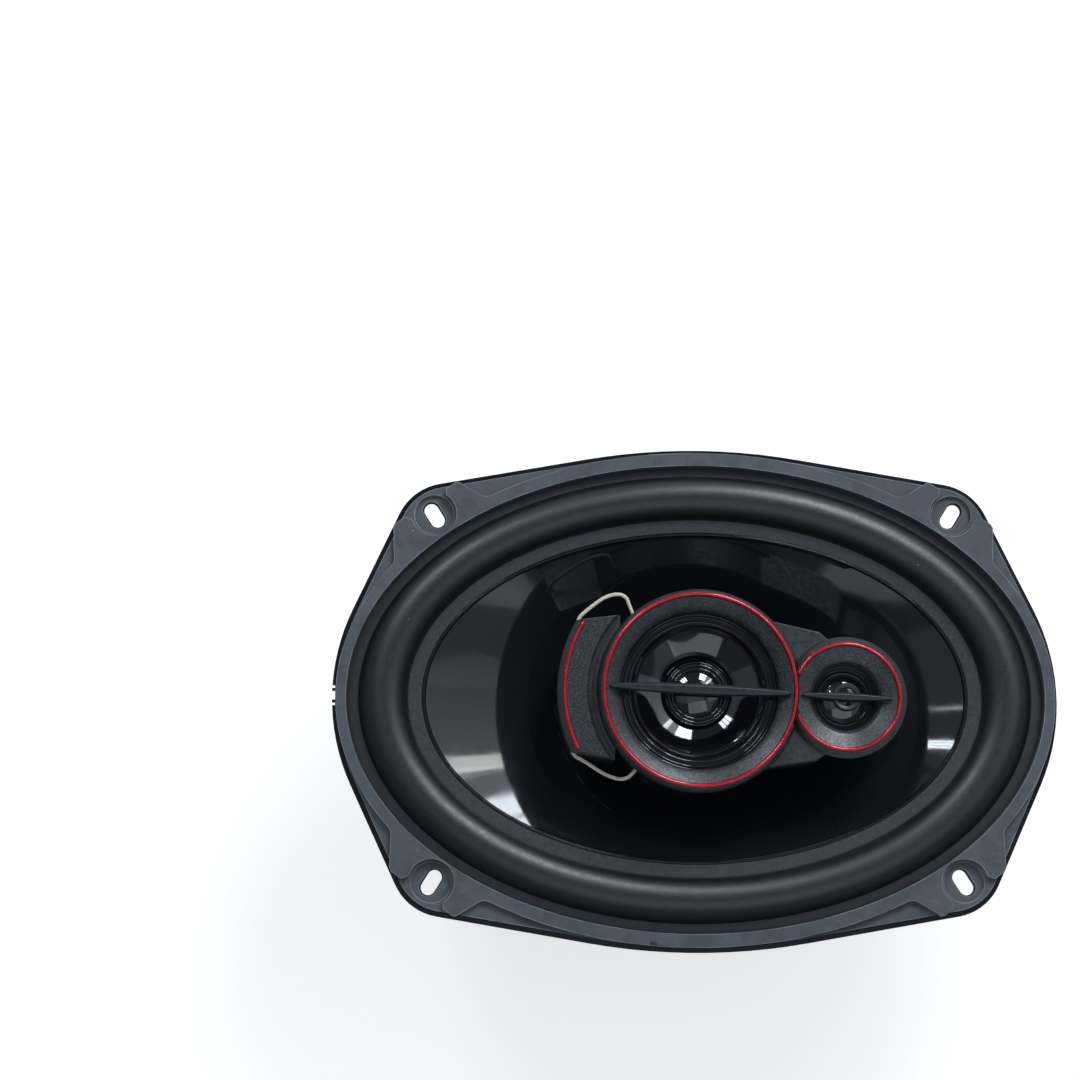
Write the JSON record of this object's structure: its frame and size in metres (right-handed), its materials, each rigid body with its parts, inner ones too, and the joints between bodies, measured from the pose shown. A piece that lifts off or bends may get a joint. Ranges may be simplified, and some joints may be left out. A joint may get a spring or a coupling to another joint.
{
  "type": "coaxial car speaker",
  "caption": "Oval coaxial car speaker: glossy cone in a rubber half roll, steel basket, ferrite motor, and a central post module with midrange, offset tweeter and red trim.",
  "frame": {"origin": "on the cone's axis, at the flat back of the motor", "axes": "+Z out of the face along the cone's axis, X along the oval's long way with the tweeter at +X, Y along its short way"},
  "size_m": [0.2368, 0.1644, 0.1031],
  "materials": {
    "black_painted_steel": "semi-gloss black paint over pressed steel",
    "gasket_rubber": "matte, scuffed at the edges",
    "zinc_steel": "bright zinc plating",
    "ferrite": "ground ferrite, matte",
    "post_aluminium": "turned",
    "terminal_board_plastic": "matte black board",
    "brass_rivet": "plain",
    "tinned_brass": "tin plated",
    "housing_plastic": "moulded black",
    "charcoal_plastic": "charcoal with fine metallic flake",
    "red_metallic": "bright red metallic",
    "bar_plastic": "satin blue-grey",
    "capacitor_sleeve": "shrink sleeve",
    "lead_braid": "cream braided sleeve",
    "cone_gloss": "gloss black moulded polypropylene",
    "former_aluminium": "thin foil former",
    "copper_winding": "enamelled copper wire",
    "surround_rubber": "satin rubber",
    "spider_cloth": "resin-stiffened woven cloth",
    "mid_cone_gloss": "gloss black",
    "mid_surround_film": "thin glossy film",
    "tweeter_dome_film": "glossy moulded film"
  },
  "bodies": {
    "chassis": {"basket": "black_painted_steel", "basket_stakes": "black_painted_steel", "front_gasket": "gasket_rubber", "yoke": "zinc_steel", "magnet": "ferrite", "top_plate": "zinc_steel", "post_screw": "zinc_steel", "centre_post": "post_aluminium", "terminal_board": "terminal_board_plastic", "board_rivets": "brass_rivet", "terminal_tab_wide": "tinned_brass", "terminal_tab_narrow": "tinned_brass", "module_housing": "housing_plastic", "module_screw": "zinc_steel", "wing_cover": "charcoal_plastic", "wing_trim": "red_metallic", "crossover_capacitors": "capacitor_sleeve", "mid_bezel": "charcoal_plastic", "mid_trim_ring": "red_metallic", "mid_bar": "bar_plastic", "tweeter_bezel": "charcoal_plastic", "tweeter_trim_ring": "red_metallic", "tweeter_bar": "bar_plastic", "mid_yoke": "zinc_steel", "mid_magnet": "ferrite", "mid_pole_plate": "zinc_steel", "mid_frame": "housing_plastic", "tweeter_yoke": "zinc_steel", "tweeter_magnet": "ferrite", "tweeter_pole_plate": "zinc_steel", "tweeter_frame": "housing_plastic", "lead_wire_upper": "lead_braid", "lead_wire_lower": "lead_braid"},
    "woofer_moving": {"cone": "cone_gloss", "voice_coil_former": "former_aluminium", "voice_coil_winding": "copper_winding", "surround": "surround_rubber", "spider": "spider_cloth"},
    "midrange_moving": {"mid_cone": "mid_cone_gloss", "mid_dome": "mid_cone_gloss", "mid_coil_former": "former_aluminium", "mid_coil_winding": "copper_winding", "mid_surround": "mid_surround_film"},
    "tweeter_moving": {"tweeter_dome": "tweeter_dome_film", "tweeter_coil": "copper_winding", "tweeter_surround": "mid_surround_film"}
  },
  "joints": [
    {"name": "woofer_stroke", "type": "slide", "parent": "chassis", "child": "woofer_moving", "axis": [0, 0, 1], "range_m": [-0.005, 0.005], "stiffness_N_per_m": 3500, "deforming": ["surround", "spider"]},
    {"name": "midrange_stroke", "type": "slide", "parent": "chassis", "child": "midrange_moving", "axis": [0, 0, 1], "range_m": [-0.0008, 0.0008], "stiffness_N_per_m": 200, "deforming": ["mid_surround"]},
    {"name": "tweeter_stroke", "type": "slide", "parent": "chassis", "child": "tweeter_moving", "axis": [0, 0, 1], "range_m": [-0.0002, 0.0002], "stiffness_N_per_m": 50, "deforming": ["tweeter_surround"]}
  ]
}
